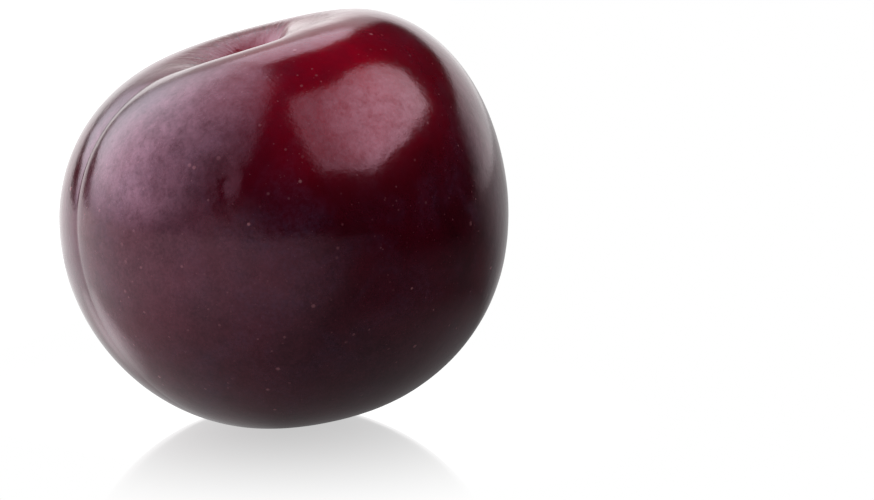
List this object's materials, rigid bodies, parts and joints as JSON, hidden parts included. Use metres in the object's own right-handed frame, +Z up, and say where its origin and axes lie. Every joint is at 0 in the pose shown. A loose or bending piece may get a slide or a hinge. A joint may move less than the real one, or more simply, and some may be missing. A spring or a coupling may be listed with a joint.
{
  "type": "plum",
  "caption": "Ripe whole plum with a stem cavity, a shallow suture down one side and glossy dark red skin, resting on a small flat spot at its blossom end.",
  "frame": {"origin": "on the flat spot that the plum rests on, straight below the middle of the fruit", "axes": "+Z up; the core leans about 10 degrees from +Z, mostly towards -X; the suture faces -X and partly -Y; +Y is away from the viewer of the picture"},
  "size_m": [0.0608, 0.0602, 0.0559],
  "materials": {
    "skin": "glossy ripe skin, dark red to maroon, with small pale dots and a thin bluish bloom"
  },
  "bodies": {
    "root": {"plum": "skin"}
  },
  "joints": []
}
